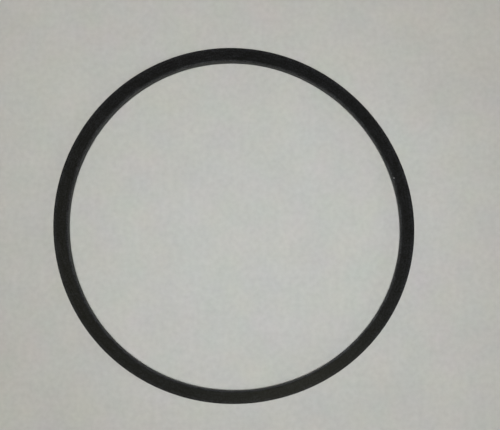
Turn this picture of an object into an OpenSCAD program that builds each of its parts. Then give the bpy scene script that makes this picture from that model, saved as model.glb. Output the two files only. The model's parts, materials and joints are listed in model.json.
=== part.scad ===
// Endless drive belt of square section, cut from a moulded rubber sleeve.
// The belt is drawn relaxed and lying on one of its cut sides. The origin is the centre
// of the loop on the surface that the belt lies on, and +Z is the axis the loop turns about.

/* [Loop] */
// Diameter across the running face of the relaxed belt
inside_d = 77; // [20:0.5:160]

/* [Section] */
// Thickness from the running face out to the back
section_t = 3.2; // [1.5:0.1:6]
// Width between the two cut sides
section_w = 3.2; // [1.5:0.1:6]

/* [Edges] */
// Radius left on the two edges of the running face by the mould
running_edge_r = 0.45; // [0.05:0.05:0.7]
// Radius left on the two edges of the back by grinding
back_edge_r = 0.1; // [0.05:0.05:0.4]

/* [Hidden] */

// Radius of the running face, which grips the pulleys
running_r = inside_d / 2;
// How far a cutter stands clear of the corner that it trims
clear = 0.1;
// Segments in the loop and in a full circle of an edge
loop_fn = 180;
edge_fn = 32;
rubber_black = [0.12, 0.12, 0.12];

// What is trimmed from a square corner at the origin to leave it rounded to radius r.
// The corner's material lies towards +X and +Y.
module corner_trim(r) {
    difference() {
        translate([-clear, -clear]) square(r + clear);
        translate([r, r]) circle(r, $fn = edge_fn);
    }
}

// The children as drawn on the lower side, and the same again on the upper side.
module both_sides() {
    children();
    translate([0, section_w]) mirror([0, 1]) children();
}

// The belt's section: X runs out from the running face, and Y runs up from the lower side.
module section() {
    difference() {
        square([section_t, section_w]);
        both_sides() corner_trim(running_edge_r);
        both_sides() translate([section_t, 0]) mirror([1, 0]) corner_trim(back_edge_r);
    }
}

// The section carried once round the loop, as one piece with no join.
module drive_belt() {
    color(rubber_black)
        rotate_extrude($fn = loop_fn)
            translate([running_r, 0]) section();
}

drive_belt();
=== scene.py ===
"""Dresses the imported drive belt: a relaxed loop of black rubber lying on pale paper.

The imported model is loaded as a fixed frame. One swept surface then stands for the belt: it keeps the
frame's section and girth, and follows the slightly uneven line that a soft loop takes when nothing
stretches it. Every length is in metres and every angle in degrees, unless a name says otherwise.
"""

import json
import logging
import math
from dataclasses import dataclass
from enum import Enum

import bpy
import numpy as np
from mathutils import Matrix, Vector


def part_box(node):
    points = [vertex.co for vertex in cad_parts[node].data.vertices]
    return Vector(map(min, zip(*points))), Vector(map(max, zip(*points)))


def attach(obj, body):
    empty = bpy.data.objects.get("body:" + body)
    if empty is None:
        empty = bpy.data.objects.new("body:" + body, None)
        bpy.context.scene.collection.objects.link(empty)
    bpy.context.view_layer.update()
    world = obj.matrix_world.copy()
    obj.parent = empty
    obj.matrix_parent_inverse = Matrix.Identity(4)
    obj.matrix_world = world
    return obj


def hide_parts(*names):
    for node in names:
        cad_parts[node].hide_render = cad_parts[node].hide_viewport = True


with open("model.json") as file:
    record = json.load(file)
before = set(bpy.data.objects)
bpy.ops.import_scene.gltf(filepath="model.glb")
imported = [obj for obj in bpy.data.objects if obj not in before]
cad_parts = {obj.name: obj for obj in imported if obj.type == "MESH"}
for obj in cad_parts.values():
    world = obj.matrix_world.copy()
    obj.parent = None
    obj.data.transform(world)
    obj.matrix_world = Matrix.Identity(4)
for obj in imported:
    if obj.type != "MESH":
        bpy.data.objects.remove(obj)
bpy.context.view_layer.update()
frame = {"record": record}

MM = 0.001
NODE = "drive_belt"
GRAIN = "grain"
BAKE_MAP = "OFBake"

# Nearly all of a noise's values lie between these two.
NOISE_LOW = 0.3
NOISE_HIGH = 0.7

log = logging.getLogger("drive_belt")


class Face(Enum):
    """The three finishes round the belt's section, by material slot number."""

    CUT_SIDE = 0
    RUNNING_FACE = 1
    BACK = 2


class LampKind(Enum):
    """The kinds of lamp in the studio."""

    SPOT = "SPOT"
    SUN = "SUN"


class Reach(Enum):
    """What a lamp is there for: to light things, or to show in their gloss."""

    LIGHT = "light"
    GLOSS = "gloss"


# ---------------------------------------------------------------------------------------------
# Node trees


class Sketch:
    """Builds one node tree, a node at a time."""

    def __init__(self, tree: bpy.types.NodeTree) -> None:
        """Clears the tree.

        Args:
            tree: The material's or world's node tree.
        """
        tree.nodes.clear()
        self.tree = tree

    def add(self, kind: str, settings: dict | None = None, **inputs: object) -> bpy.types.Node:
        """Adds a node and feeds its inputs.

        Args:
            kind: The node's type, without the ShaderNode in front.
            settings: The node's own properties and their values.
            **inputs: An input's name, with _ for each space, and its value or the socket to link.

        Returns:
            The new node.
        """
        node = self.tree.nodes.new("ShaderNode" + kind)
        for name, value in (settings or {}).items():
            setattr(node, name, value)
        for name, value in inputs.items():
            self.feed(node.inputs[name.replace("_", " ")], value)
        return node

    def feed(self, socket: bpy.types.NodeSocket, value: object) -> None:
        """Links a socket to another, or sets its value.

        Args:
            socket: The input to feed.
            value: The socket to link it to, or its value.
        """
        if isinstance(value, bpy.types.NodeSocket):
            self.tree.links.new(value, socket)
        else:
            socket.default_value = value

    def maths(self, operation: str, *values: object, clamp: bool = False) -> bpy.types.NodeSocket:
        """A Math node's result.

        Args:
            operation: Blender's name for the operation.
            *values: Its operands, as numbers or sockets.
            clamp: Whether the result is held between 0 and 1.

        Returns:
            The result's socket.
        """
        node = self.add("Math", {"operation": operation, "use_clamp": clamp})
        for socket, value in zip(node.inputs, values):
            self.feed(socket, value)
        return node.outputs[0]

    def vector_maths(self, operation: str, *values: object) -> bpy.types.Node:
        """A Vector Math node.

        Args:
            operation: Blender's name for the operation.
            *values: Its operands, as triples or sockets.

        Returns:
            The node, whose result is its Vector or its Value output.
        """
        node = self.add("VectorMath", {"operation": operation})
        for socket, value in zip(node.inputs, values):
            self.feed(socket, value)
        return node

    def noise(self, place: bpy.types.NodeSocket, size: float, detail: float = 2.0) -> bpy.types.NodeSocket:
        """Cloudy noise between 0 and 1 whose largest lumps measure about size."""
        return self.add("TexNoise", Vector=place, Scale=1 / size, Detail=detail).outputs["Fac"]

    def spread(self, value: object, low: float, high: float,
               to_low: float, to_high: float) -> bpy.types.NodeSocket:
        """Carries a value from the range low to high onto to_low to to_high, held at its ends."""
        node = self.add("MapRange", Value=value, From_Min=low, From_Max=high, To_Min=to_low, To_Max=to_high)
        return node.outputs["Result"]

    def sway(self, noise: object, middle: float, reach: float) -> bpy.types.NodeSocket:
        """Carries a noise onto a value that strays from its middle by up to reach, either way."""
        return self.spread(noise, NOISE_LOW, NOISE_HIGH, middle - reach, middle + reach)

    def fade(self, value: object, low: float, high: float) -> bpy.types.NodeSocket:
        """Falls from 1 at low to 0 at high, easing away from both ends."""
        node = self.add("MapRange", {"interpolation_type": "SMOOTHSTEP"}, Value=value, From_Min=low,
                        From_Max=high, To_Min=1.0, To_Max=0.0)
        return node.outputs["Result"]

    def blend(self, share: object, first: object, second: object) -> bpy.types.NodeSocket:
        """Mixes two colours.

        Args:
            share: How much of the second colour there is, from 0 to 1.
            first: The colour at a share of 0.
            second: The colour at a share of 1.

        Returns:
            The mixed colour's socket.
        """
        node = self.add("Mix", {"data_type": "RGBA"})
        # The colour sockets share their names with the node's number and vector sockets.
        self.feed(node.inputs[0], share)
        self.feed(node.inputs[6], first)
        self.feed(node.inputs[7], second)
        return node.outputs[2]


def grey(level: float) -> tuple[float, float, float, float]:
    """A grey as linear colour."""
    return (level, level, level, 1.0)


# ---------------------------------------------------------------------------------------------
# Finishes

# The product of the two noises that make the bloom lies mostly between these two.
BLOOM_RANGE = (0.15, 0.4)

# Dust: its grey, how high it stands, how much rougher it is than the rubber, the size and the depth
# of the bites in its edge, and the share of its radius that is solid.
DUST_GREY = 0.25
DUST_HEIGHT = 40e-6
DUST_ROUGHNESS = 0.3
DUST_FRAY_SIZE = 0.12 * MM
DUST_FRAY = 0.08 * MM
DUST_CORE = 0.6


@dataclass(frozen=True)
class Speck:
    """A grain of dust on the belt.

    Attributes:
        bearing: Where it lies round the loop, anticlockwise from +X.
        inset: How far its middle lies out from the running face.
        size: Its diameter.
    """

    bearing: float
    inset: float
    size: float


@dataclass(frozen=True)
class RubberFinish:
    """One finish of the black rubber.

    Attributes:
        name: The material's name.
        level: The cut rubber's grey, as linear colour.
        roughness: The gloss's roughness, from 0 to 1.
        specular: The strength of the mirror reflection, where 0.5 is that of plain plastic.
        line_pitch: The spacing of the tool's fine lines, which run along the belt.
        line_depth: The depth of those lines.
        line_length: How far a line runs before it fades.
        grain_size: The size of the rubber's own grain.
        grain_depth: The depth of that grain.
        bloom: How much paler the grey is where bloom lies on the rubber.
        skin: The strength of the smooth skin's own reflection, from 0 to 1.
        skin_roughness: That reflection's roughness.
        streak: How much paler or darker the grey is along the tool's lines.
        speckle: How much paler or darker the grey is from grain to grain.
        painted_sheen_grey: A paler grey painted on the running face and its edges, standing in for the
            sheen they show.
        painted_sheen_before: How far inside the end of those edges the painted sheen begins to fade.
        painted_sheen_past: How far past their end it is gone.
        painted_edge_highlight: How much paler the grey is painted on the back and up to its edges, as a
            highlight there.
        painted_highlight_reach: How far in from the back's edges that painted highlight runs out.
        hue: The balance of red, green and blue in the cut rubber's grey.
        painted_sheen_hue: The same balance in the painted sheen on the moulded skin.
        drift: The size of the bloom's drifts.
        wisp: The size of the wisps in them.
        unevenness: How much rougher or smoother the gloss is from wisp to wisp.
    """

    name: str
    level: float
    roughness: float
    specular: float
    line_pitch: float
    line_depth: float
    line_length: float
    grain_size: float
    grain_depth: float
    bloom: float
    skin: float = 0.0
    skin_roughness: float = 0.3
    streak: float = 0.4
    speckle: float = 0.8
    painted_sheen_grey: float = 0.035
    painted_sheen_before: float = 0.55 * MM
    painted_sheen_past: float = 0.1 * MM
    painted_edge_highlight: float = 0.006
    painted_highlight_reach: float = 0.9 * MM
    hue: tuple[float, float, float] = (0.96, 1.0, 1.13)
    painted_sheen_hue: tuple[float, float, float] = (0.97, 1.0, 1.0)
    drift: float = 6 * MM
    wisp: float = 0.5 * MM
    unevenness: float = 0.04

    def material(self, specks: list[tuple[Vector, float]], skin_end: float,
                 back_start: float) -> bpy.types.Material:
        """The finish as a node material.

        Fine lines are noise stretched along the belt, read from the grain attribute, whose first two
        values run with the loop and whose third runs round the section from the middle of the running
        face. That third value also says where the painted sheen lies, on the moulded skin and a little
        past its end, and where the painted highlight by the back's edges starts. The rubber's own grain
        and its bloom are plain noise on Object coordinates.

        Args:
            specks: The middle and the radius of each grain of dust.
            skin_end: How far round the section the moulded skin ends.
            back_start: How far round the section the back's edges start.

        Returns:
            The new material.
        """
        made = bpy.data.materials.new(self.name)
        made.use_nodes = True
        sketch = Sketch(made.node_tree)
        place = sketch.add("TexCoord").outputs["Object"]
        along = sketch.add("Attribute", {"attribute_name": GRAIN}).outputs["Vector"]
        run = (1 / self.line_length, 1 / self.line_length, 1 / self.line_pitch)
        line_place = sketch.vector_maths("MULTIPLY", along, run).outputs["Vector"]
        lines = sketch.noise(line_place, 1.0, 3.0)
        grain = sketch.noise(place, self.grain_size, 3.0)
        drifts = sketch.noise(place, self.drift, 4.0)
        wisps = sketch.noise(place, self.wisp, 3.0)

        across = sketch.maths("ABSOLUTE", sketch.add("SeparateXYZ", Vector=along).outputs["Z"])
        # Painted sheen: the grey rises to a paler one over the moulded skin and fades out a little past its
        # end.
        skin = sketch.fade(across, skin_end - self.painted_sheen_before, skin_end + self.painted_sheen_past)
        # Painted highlight: the grey is paler on the back and over the last stretch of the cut sides before
        # its edges.
        clear = sketch.fade(across, back_start - self.painted_highlight_reach, back_start)
        level = sketch.maths("MULTIPLY_ADD", skin, self.painted_sheen_grey - self.level, self.level + self.painted_edge_highlight)
        level = sketch.maths("MULTIPLY_ADD", clear, -self.painted_edge_highlight, level)
        bloom = sketch.spread(sketch.maths("MULTIPLY", drifts, wisps), *BLOOM_RANGE, 1.0, self.bloom)
        for share in (bloom, sketch.sway(lines, 1.0, self.streak), sketch.sway(grain, 1.0, self.speckle)):
            level = sketch.maths("MULTIPLY", level, share)
        dust = self.dust(sketch, place, specks)
        # The painted sheen has its own hue.
        rubber = sketch.vector_maths("SCALE", sketch.blend(skin, (*self.hue, 1.0), (*self.painted_sheen_hue, 1.0)))
        sketch.feed(rubber.inputs["Scale"], level)
        colour = sketch.blend(dust, rubber.outputs["Vector"], grey(DUST_GREY))

        height = sketch.maths("MULTIPLY", lines, self.line_depth)
        height = sketch.maths("MULTIPLY_ADD", grain, self.grain_depth, height)
        height = sketch.maths("MULTIPLY_ADD", dust, DUST_HEIGHT, height)
        bump = sketch.add("Bump", Height=height, Distance=1.0).outputs["Normal"]
        rough = sketch.sway(wisps, self.roughness, self.unevenness)
        rough = sketch.maths("MULTIPLY_ADD", dust, DUST_ROUGHNESS, rough, clamp=True)
        shader = sketch.add("BsdfPrincipled", Base_Color=colour, Roughness=rough, Normal=bump,
                            Specular_IOR_Level=self.specular, Coat_Weight=self.skin,
                            Coat_Roughness=self.skin_roughness)
        sketch.add("OutputMaterial", Surface=shader.outputs["BSDF"])
        return made

    def dust(self, sketch: Sketch, place: bpy.types.NodeSocket,
             specks: list[tuple[Vector, float]]) -> bpy.types.NodeSocket:
        """How much of a point is covered by dust, from 0 to 1.

        Args:
            sketch: The tree to build in.
            place: The point's Object coordinates.
            specks: The middle and the radius of each grain of dust.

        Returns:
            The share's socket.
        """
        ragged = sketch.add("TexNoise", Vector=place, Scale=1 / DUST_FRAY_SIZE).outputs["Color"]
        offset = sketch.vector_maths("MULTIPLY_ADD", ragged, (2 * DUST_FRAY,) * 3, (-DUST_FRAY,) * 3)
        frayed = sketch.vector_maths("ADD", place, offset.outputs["Vector"]).outputs["Vector"]
        covered: object = 0.0
        for middle, radius in specks:
            away = sketch.vector_maths("DISTANCE", frayed, tuple(middle)).outputs["Value"]
            one = sketch.spread(away, DUST_CORE * radius, radius, 1.0, 0.0)
            covered = sketch.maths("MAXIMUM", covered, one)
        return covered


@dataclass(frozen=True)
class PaperFinish:
    """The pale paper under the belt.

    Attributes:
        colour: Its linear colour.
        mottle: How much paler or darker its grey is from place to place.
        tinge: How much its hue drifts from place to place.
        cloud: The size of the drifts in its grey and its hue.
        fluff: The size of the finer flecks in its grey.
        fluff_share: How much those flecks weigh against the drifts.
        mottle_range: The range that most of their weighted sum lies in.
        fibre: The size of its fibres.
        relief: The depth of those fibres.
        roughness: Its gloss's roughness.
        specular: The strength of its mirror reflection.
    """

    colour: tuple[float, float, float] = (0.515, 0.521, 0.491)
    mottle: float = 0.06
    tinge: float = 0.10
    cloud: float = 9 * MM
    fluff: float = 1.3 * MM
    fluff_share: float = 3.0
    mottle_range: tuple[float, float] = (1.2, 2.8)
    fibre: float = 0.35 * MM
    relief: float = 6e-6
    roughness: float = 0.9
    specular: float = 0.1

    def material(self) -> bpy.types.Material:
        """The paper as a node material.

        Its grey runs between a dark and a light one, by a coarse noise plus a fine one. Its hue is
        then multiplied by a coloured noise whose mean is about 1, and its relief is fine noise.

        Returns:
            The new material.
        """
        made = bpy.data.materials.new("pale_paper")
        made.use_nodes = True
        sketch = Sketch(made.node_tree)
        place = sketch.add("TexCoord").outputs["Object"]
        cloud = sketch.noise(place, self.cloud, 3.0)
        fluff = sketch.noise(place, self.fluff, 4.0)
        mixed = sketch.maths("MULTIPLY_ADD", fluff, self.fluff_share, cloud)
        share = sketch.spread(mixed, *self.mottle_range, 0.0, 1.0)
        light = tuple((1 + self.mottle) * c for c in self.colour) + (1.0,)
        dark = tuple((1 - self.mottle) * c for c in self.colour) + (1.0,)
        stain = sketch.add("TexNoise", Vector=place, Scale=1 / self.cloud, Detail=4.0).outputs["Color"]
        tinge = sketch.vector_maths("MULTIPLY_ADD", stain, (self.tinge,) * 3, (1 - self.tinge / 2,) * 3)
        colour = sketch.vector_maths("MULTIPLY", sketch.blend(share, dark, light), tinge.outputs["Vector"])
        height = sketch.maths("MULTIPLY", sketch.noise(place, self.fibre, 3.0), self.relief)
        bump = sketch.add("Bump", Height=height, Distance=1.0).outputs["Normal"]
        shader = sketch.add("BsdfPrincipled", Base_Color=colour.outputs["Vector"], Normal=bump,
                            Roughness=self.roughness, Specular_IOR_Level=self.specular)
        sketch.add("OutputMaterial", Surface=shader.outputs["BSDF"])
        return made


# ---------------------------------------------------------------------------------------------
# The belt


@dataclass(frozen=True)
class Wave:
    """One wave round the loop, in its line or in its thickness.

    Attributes:
        count: How many times it swells in one turn.
        reach: How far it swells.
        bearing: Where one swelling lies, anticlockwise from +X.
    """

    count: int
    reach: float
    bearing: float

    def phase(self, turn: np.ndarray) -> np.ndarray:
        """The wave's own angle at each angle round the loop, in radians."""
        return self.count * (turn - math.radians(self.bearing))


@dataclass
class Section:
    """The belt's section: a square with its four edges rounded.

    Attributes:
        thickness: From the running face to the back.
        width: Between the two cut sides.
        running_edge_r: The radius of the running face's two edges.
        back_edge_r: The radius of the back's two edges.
        flat_steps: The steps across each flat.
        edge_steps: The steps round each edge.
    """

    thickness: float
    width: float
    running_edge_r: float
    back_edge_r: float = 0.1 * MM
    flat_steps: int = 9
    edge_steps: int = 6

    def corners(self) -> list[tuple[float, float, float, float]]:
        """The four edges' roundings, in the outline's order.

        Returns:
            Each rounding's centre, across and up, its radius and its first angle.
        """
        half, a, b = self.thickness / 2, self.running_edge_r, self.back_edge_r
        return [
            (half - b, self.width - b, b, 0.0),
            (a - half, self.width - a, a, 90.0),
            (a - half, a, a, 180.0),
            (half - b, b, b, 270.0),
        ]

    def running_middle(self) -> float:
        """How far the middle of the running face lies along the outline, from its start."""
        back_and_edge = self.width - 2 * self.back_edge_r + math.pi / 2 * self.back_edge_r
        return back_and_edge + self.back_start()

    def skin_end(self) -> float:
        """How far round the section the moulded skin reaches, from the middle of the running face."""
        return self.width / 2 - self.running_edge_r + math.pi / 2 * self.running_edge_r

    def back_start(self) -> float:
        """How far round the section the back's edges start, from the middle of the running face."""
        return self.skin_end() + self.thickness - self.running_edge_r - self.back_edge_r

    def outline(self) -> tuple[np.ndarray, np.ndarray]:
        """The section's points and the finish of each step between them.

        The outline starts at the foot of the back and runs up it, in over the upper side, down the
        running face and out under the lower side. An edge is a quarter circle, and a flat is the
        straight line between two edges, with its steps closest together at its ends. Each edge is
        shared by the two finishes that meet there, half to each.

        Returns:
            Points as (across, up) from the middle of the section's foot, ending where they began,
            and a Face number for each step.
        """
        turns = np.linspace(0.0, 90.0, self.edge_steps + 1)
        edges = []
        for x, z, r, first in self.corners():
            angle = np.radians(first + turns)
            edges.append(np.stack([x + r * np.cos(angle), z + r * np.sin(angle)], 1))
        ease = (1 - np.cos(np.linspace(0.0, np.pi, self.flat_steps + 1))) / 2
        faces = [Face.BACK, Face.CUT_SIDE, Face.RUNNING_FACE, Face.CUT_SIDE]
        points, finish = [], []
        for k, face in enumerate(faces):
            start, end = edges[k - 1][-1], edges[k][0]
            points += [start + (end - start) * ease[:-1, None], edges[k][:-1]]
            after = faces[(k + 1) % len(faces)]
            half = self.edge_steps // 2
            finish += [face.value] * (self.flat_steps + half) + [after.value] * (self.edge_steps - half)
        ring = np.concatenate(points)
        return np.concatenate([ring, ring[:1]]), np.array(finish)


@dataclass
class Belt:
    """The belt as it lies, relaxed, on the paper.

    Attributes:
        inside_r: The running face's mean radius.
        section: The belt's section.
        lobes: The waves in the relaxed loop's line.
        swells: The waves in its thickness, which come from a mould whose core stood off centre.
        specks: The dust on it.
        steps: The steps round the loop.
        map_rows: The rows that the loop is laid out in, in its texture map.
        map_gap: The gap at a row's edges, as a share of its length and of its height.
    """

    inside_r: float
    section: Section
    lobes: tuple[Wave, ...]
    swells: tuple[Wave, ...]
    specks: tuple[Speck, ...]
    steps: int = 1440
    map_rows: int = 5
    map_gap: float = 0.02

    def line(self, turn: np.ndarray) -> tuple[np.ndarray, np.ndarray]:
        """The middle line of the loop and its outward normal, in plan.

        The line's radius is the mean radius plus each lobe's cosine wave. The normal is the line's
        derivative, turned a quarter turn clockwise and made a unit long.

        Args:
            turn: Angles round the loop, in radians.

        Returns:
            Points and normals, each an (n, 2) array.
        """
        radius = np.full_like(turn, self.inside_r + self.section.thickness / 2)
        slope = np.zeros_like(turn)
        for lobe in self.lobes:
            radius += lobe.reach * np.cos(lobe.phase(turn))
            slope -= lobe.reach * lobe.count * np.sin(lobe.phase(turn))
        out = np.stack([np.cos(turn), np.sin(turn)], 1)
        on = np.stack([-np.sin(turn), np.cos(turn)], 1)
        heading = slope[:, None] * out + radius[:, None] * on
        normal = np.stack([heading[:, 1], -heading[:, 0]], 1)
        return radius[:, None] * out, normal / np.linalg.norm(normal, axis=1, keepdims=True)

    def surface(self) -> tuple[np.ndarray, np.ndarray]:
        """The section carried round the loop.

        A point is the middle line's point, moved out along its normal by the section's first
        measure and up by its second. The first measure is stretched by each swell's cosine wave.

        Returns:
            Points as a (steps, outline, 3) array, and the finish of each step of the outline.
        """
        turn = np.arange(self.steps) * 2 * np.pi / self.steps
        middle, normal = self.line(turn)
        outline, finish = self.section.outline()
        outline = outline[:-1]
        swell = sum(wave.reach * np.cos(wave.phase(turn)) for wave in self.swells)
        stretch = 1 + swell / self.section.thickness
        points = np.empty((self.steps, len(outline), 3))
        points[..., :2] = middle[:, None] + normal[:, None] * outline[None, :, :1] * stretch[:, None, None]
        points[..., 2] = outline[None, :, 1]
        return points, finish

    def build(self) -> bpy.types.Object:
        """Makes the belt's mesh, with its finishes, its grain and its texture map.

        Returns:
            The belt's object, at the origin, with its place in its mesh.
        """
        points, finish = self.surface()
        around, across = points.shape[:2]
        i, j = np.meshgrid(np.arange(around), np.arange(across), indexing="ij")
        # The four corners of each face, counted on past the last row so that a wrap can be seen.
        ci = i.reshape(-1, 1) + np.array([0, 1, 1, 0])
        cj = j.reshape(-1, 1) + np.array([0, 0, 1, 1])
        corners = (ci % around) * across + cj % across
        mesh = bpy.data.meshes.new(NODE)
        mesh.from_pydata(points.reshape(-1, 3), [], corners)
        mesh.polygons.foreach_set("material_index", finish[j.ravel()])
        mesh.polygons.foreach_set("use_smooth", np.ones(len(corners), bool))
        self.write_grain(mesh, ci, cj)
        self.write_map(mesh, i, ci, cj)
        mesh.update()
        belt = bpy.data.objects.new("belt_loop", mesh)
        bpy.context.scene.collection.objects.link(belt)
        return belt

    def girth(self) -> np.ndarray:
        """How far along the outline each of its points lies.

        Returns:
            Distances from 0 at its start to the whole girth.
        """
        outline, _ = self.section.outline()
        steps = np.linalg.norm(np.diff(outline, axis=0), axis=1)
        return np.concatenate([[0.0], np.cumsum(steps)])

    def write_grain(self, mesh: bpy.types.Mesh, ci: np.ndarray, cj: np.ndarray) -> None:
        """Gives each face corner its place in the belt's own grain.

        The first two values are the place on a true circle of the mean radius, so they run with the
        loop and join up, and the third is the distance round the section from the middle of the
        running face.

        Args:
            mesh: The belt's mesh.
            ci: Each corner's step round the loop.
            cj: Each corner's step round the section.
        """
        turn = ci * 2 * np.pi / self.steps
        radius = self.inside_r + self.section.thickness / 2
        across = self.girth()[cj] - self.section.running_middle()
        values = np.stack([radius * np.cos(turn), radius * np.sin(turn), across], -1)
        grain = mesh.attributes.new(GRAIN, "FLOAT_VECTOR", "CORNER")
        grain.data.foreach_set("vector", values.ravel())

    def write_map(self, mesh: bpy.types.Mesh, i: np.ndarray, ci: np.ndarray, cj: np.ndarray) -> None:
        """Lays the belt out in rows, one above another, as a texture map with no overlap.

        Across a row runs an equal share of the loop, and up it runs the girth.

        Args:
            mesh: The belt's mesh.
            i: Each face's step round the loop.
            ci: Each corner's step round the loop.
            cj: Each corner's step round the section.
        """
        per_row = self.steps // self.map_rows
        row = i.reshape(-1, 1) // per_row
        gap = self.map_gap
        u = gap / 2 + (1 - gap) * (ci / per_row - row)
        v = (row + gap + (1 - 2 * gap) * self.girth()[cj] / self.girth()[-1]) / self.map_rows
        layer = mesh.uv_layers.new(name=BAKE_MAP)
        layer.data.foreach_set("uv", np.stack([u, v], -1).ravel())

    def dust_places(self) -> list[tuple[Vector, float]]:
        """Where the specks lie on the upper cut side.

        Returns:
            The middle and the radius of each speck.
        """
        found = []
        for speck in self.specks:
            middle, normal = self.line(np.array([math.radians(speck.bearing)]))
            place = middle[0] + normal[0] * (speck.inset - self.section.thickness / 2)
            found.append((Vector((*place, self.section.width)), speck.size / 2))
        return found

    def dress(self, belt: bpy.types.Object, finishes: dict[Face, RubberFinish]) -> None:
        """Puts each finish in the slot that its face's number gives.

        Args:
            belt: The belt's object.
            finishes: The finish of each face.
        """
        specks = self.dust_places()
        ends = self.section.skin_end(), self.section.back_start()
        for face in Face:
            belt.data.materials.append(finishes[face].material(specks, *ends))


# ---------------------------------------------------------------------------------------------
# The studio


@dataclass(frozen=True)
class Lamp:
    """A studio lamp.

    Attributes:
        name: Its name.
        kind: What sort of lamp it is.
        reach: Whether it lights things or shows in their gloss.
        place: Where it hangs, or for a sun the direction it shines from.
        power: Its power in watts, or for a sun its strength.
        soft: Its radius, or for a sun its width as an angle.
        colour: Its linear colour.
        aim: The point it shines at.
        cone: The full angle of a spot's beam, which fades from its middle out. A sun has none.
    """

    name: str
    kind: LampKind
    reach: Reach
    place: tuple[float, float, float]
    power: float
    soft: float
    colour: tuple[float, float, float] = (1.0, 1.0, 1.0)
    aim: tuple[float, float, float] = (0.0, 0.0, 0.0)
    cone: float = 0.0

    def hang(self) -> bpy.types.Object:
        """Makes the lamp and hangs it in place.

        Returns:
            The lamp's object.
        """
        lamp = bpy.data.lights.new(self.name, self.kind.value)
        lamp.energy = self.power
        lamp.color = self.colour
        if self.kind is LampKind.SUN:
            lamp.angle = math.radians(self.soft)
        else:
            lamp.shadow_soft_size = self.soft
            lamp.spot_size = math.radians(self.cone)
            lamp.spot_blend = 1.0
        made = bpy.data.objects.new(self.name, lamp)
        made.location = self.place
        made.rotation_mode = "QUATERNION"
        made.rotation_quaternion = (Vector(self.aim) - Vector(self.place)).to_track_quat("-Z", "Y")
        made.visible_camera = False
        made.visible_diffuse = self.reach is Reach.LIGHT
        made.visible_glossy = self.reach is Reach.GLOSS
        bpy.context.scene.collection.objects.link(made)
        return made


@dataclass(frozen=True)
class Viewpoint:
    """Where the camera stands, almost straight above the belt.

    Attributes:
        aim: The point on the paper that it looks at.
        distance: How far it is from that point.
        lean_right: How far its line of sight leans to +X.
        lean_near: How far its line of sight leans to -Y.
        lens: Its focal length in millimetres, on a sensor 36 mm wide.
        near_clip: How far off the first thing is that it can see.
    """

    aim: tuple[float, float, float] = (3.87 * MM, 2.6 * MM, 0.0)
    distance: float = 325.8 * MM
    lean_right: float = 1.33
    lean_near: float = 4.23
    lens: float = 100.0
    near_clip: float = 10 * MM

    def axes(self) -> Matrix:
        """The camera's turn: it looks down its line of sight, with +X to its right.

        Returns:
            Its right, up and back directions, as the columns of a matrix.
        """
        across = math.tan(math.radians(self.lean_right))
        nearer = math.tan(math.radians(self.lean_near))
        back = Vector((across, -nearer, 1.0)).normalized()
        right = Vector((1.0, 0.0, 0.0))
        right = (right - back * right.dot(back)).normalized()
        return Matrix((right, back.cross(right), back)).transposed()

    def stand(self) -> bpy.types.Object:
        """Makes the camera and makes it the scene's own.

        Returns:
            The camera's object.
        """
        axes = self.axes()
        data = bpy.data.cameras.new("camera")
        data.lens = self.lens
        data.clip_start = self.near_clip
        camera = bpy.data.objects.new("camera", data)
        eye = Vector(self.aim) + axes.col[2] * self.distance
        camera.matrix_world = Matrix.Translation(eye) @ axes.to_4x4()
        bpy.context.scene.collection.objects.link(camera)
        bpy.context.scene.camera = camera
        return camera


@dataclass
class Studio:
    """A plain pale floor under soft lamps.

    Attributes:
        viewpoint: Where the camera stands.
        lamps: The lamps.
        paper: The floor's finish.
        floor_half: Half the floor's side.
        floor_drop: How far the floor lies under the belt, so that the two faces never fight.
        ambient: The strength of the light that comes from all round.
        backdrop: The brightness of the far wall, where the camera sees it.
    """

    viewpoint: Viewpoint
    lamps: tuple[Lamp, ...]
    paper: PaperFinish
    floor_half: float = 3.0
    floor_drop: float = 0.01 * MM
    ambient: float = 0.015
    backdrop: float = 0.5

    def lay_floor(self) -> bpy.types.Object:
        """Makes the floor: one flat square of paper.

        Returns:
            The floor's object.
        """
        half = self.floor_half
        square = [(-half, -half, 0), (half, -half, 0), (half, half, 0), (-half, half, 0)]
        mesh = bpy.data.meshes.new("floor")
        mesh.from_pydata(square, [], [(0, 1, 2, 3)])
        mesh.transform(Matrix.Translation((0, 0, -self.floor_drop)))
        mesh.materials.append(self.paper.material())
        floor = bpy.data.objects.new("floor", mesh)
        bpy.context.scene.collection.objects.link(floor)
        return floor

    def light_world(self) -> None:
        """Fills the room with faint even light, and shows the camera alone a pale far wall."""
        world = bpy.data.worlds.new("studio")
        world.use_nodes = True
        bpy.context.scene.world = world
        sketch = Sketch(world.node_tree)
        camera_ray = sketch.add("LightPath").outputs["Is Camera Ray"]
        room = sketch.add("Background", Color=grey(1.0), Strength=self.ambient).outputs["Background"]
        wall = sketch.add("Background", Color=grey(1.0), Strength=self.backdrop).outputs["Background"]
        both = sketch.add("MixShader")
        for socket, value in zip(both.inputs, (camera_ray, room, wall)):
            sketch.feed(socket, value)
        sketch.add("OutputWorld", Surface=both.outputs["Shader"])

    def build(self) -> None:
        """Stands the camera, lays the floor and hangs the lamps."""
        self.viewpoint.stand()
        self.lay_floor()
        self.light_world()
        for lamp in self.lamps:
            lamp.hang()
        bpy.context.scene.view_settings.view_transform = "Standard"


# ---------------------------------------------------------------------------------------------
# What this belt and its studio are made of


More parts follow.
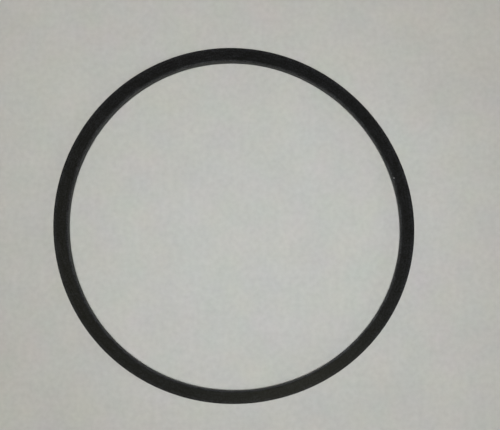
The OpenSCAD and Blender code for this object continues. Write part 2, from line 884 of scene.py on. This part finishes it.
CUT_SIDE = RubberFinish("rubber_cut_side", level=0.0050, roughness=0.6, specular=0.05,
                        line_pitch=0.35 * MM, line_depth=1.2e-5, line_length=3 * MM,
                        grain_size=0.3 * MM, grain_depth=2e-5, bloom=1.6, skin=0.025)
RUNNING_FACE = RubberFinish("rubber_running_face", level=0.008, roughness=0.55, specular=0.10,
                            line_pitch=0.35 * MM, line_depth=3e-6, line_length=5 * MM,
                            grain_size=0.25 * MM, grain_depth=6e-6, bloom=1.5)
BACK = RubberFinish("rubber_ground_back", level=0.010, roughness=0.7, specular=0.2,
                    line_pitch=0.1 * MM, line_depth=8e-6, line_length=4 * MM,
                    grain_size=0.12 * MM, grain_depth=8e-6, bloom=1.5)

# The relaxed loop is a little oval, with a trace of three and of four sides.
LOBES = (Wave(2, 0.334 * MM, -26.5), Wave(3, 0.188 * MM, -18.6), Wave(4, 0.025 * MM, -21.5))

# Its wall is thickest towards -X and thinnest towards -Y.
SWELLS = (Wave(1, 0.149 * MM, 143.7), Wave(2, 0.091 * MM, 1.0))

# One grain of dust, just outside the running face's upper edge.
SPECKS = (Speck(16.4, 0.5 * MM, 0.3 * MM),)

# The lamp beside the camera lights the paper in two overlapping pools.
POOL_AIMS = {"far_pool": (-0.002, 0.016, 0.0), "near_pool": (0.018, -0.022, 0.0)}
POOLS = tuple(
    Lamp(name, LampKind.SPOT, Reach.LIGHT, place=(0.014, -0.050, 0.32), aim=aim, power=0.41, soft=0.012,
         colour=(0.85, 1.0, 1.15), cone=25.6)
    for name, aim in POOL_AIMS.items()
)

LAMPS = POOLS + (
    Lamp("over", LampKind.SUN, Reach.LIGHT, place=(0.0, -0.03, 1.0), power=2.37, soft=8.0,
         colour=(1.033, 1.0, 0.976)),
    Lamp("side", LampKind.SUN, Reach.LIGHT, place=(1.1, -0.2, 1.0), power=0.21, soft=20.0,
         colour=(1.03, 1.0, 0.97)),
    Lamp("key", LampKind.SPOT, Reach.GLOSS, place=(0.019, -0.050, 0.32), aim=(0.009, -0.003, 0.0),
         power=1.6, soft=0.012, colour=(1.0, 1.0, 0.72), cone=38.0),
    Lamp("left_card", LampKind.SPOT, Reach.GLOSS, place=(-0.085, -0.007, 0.32), aim=(-0.04, 0.0, 0.0),
         power=1.0, soft=0.05, colour=(1.0, 1.0, 0.65), cone=90.0),
    Lamp("right_card", LampKind.SPOT, Reach.GLOSS, place=(0.075, 0.015, 0.32), aim=(0.04, 0.0, 0.0),
         power=0.16, soft=0.05, colour=(0.9, 1.0, 1.05), cone=90.0),
    Lamp("window", LampKind.SUN, Reach.GLOSS, place=(-1.3, 2.35, 1.0), power=3.6, soft=45.0),
)


def running_face() -> tuple[float, float]:
    """The running face's size, from the frame's own mount.

    Returns:
        Its radius, and its height between its two edges.
    """
    mounts = {m["name"]: m for m in frame["record"]["mounts"]}
    dims = mounts["running_face"]["dims"]
    return dims["r_mm"] * MM, dims["length_mm"] * MM


def build_belt() -> bpy.types.Object:
    """Builds the belt from the frame's sizes, dresses it and ties it to the frame.

    Returns:
        The belt's object.
    """
    low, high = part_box(NODE)
    inside_r, flat = running_face()
    width = high.z - low.z
    section = Section(thickness=high.y - inside_r, width=width, running_edge_r=(width - flat) / 2)
    belt = Belt(inside_r, section, LOBES, SWELLS, SPECKS)
    piece = belt.build()
    belt.dress(piece, {Face.CUT_SIDE: CUT_SIDE, Face.RUNNING_FACE: RUNNING_FACE, Face.BACK: BACK})
    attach(piece, "root")
    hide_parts(NODE)
    return piece


def build_studio() -> None:
    """Builds the camera, the floor and the lights."""
    Studio(Viewpoint(), LAMPS, PaperFinish()).build()


def main() -> None:
    """Builds the studio and the belt, and reports the piece."""
    logging.basicConfig(level=logging.INFO, format="%(name)s: %(message)s")
    build_studio()
    piece = build_belt()
    faces = len(piece.data.polygons)
    log.info("%s: %d faces, for the node %s", piece.name, faces, NODE)


if __name__ == "__main__":
    main()
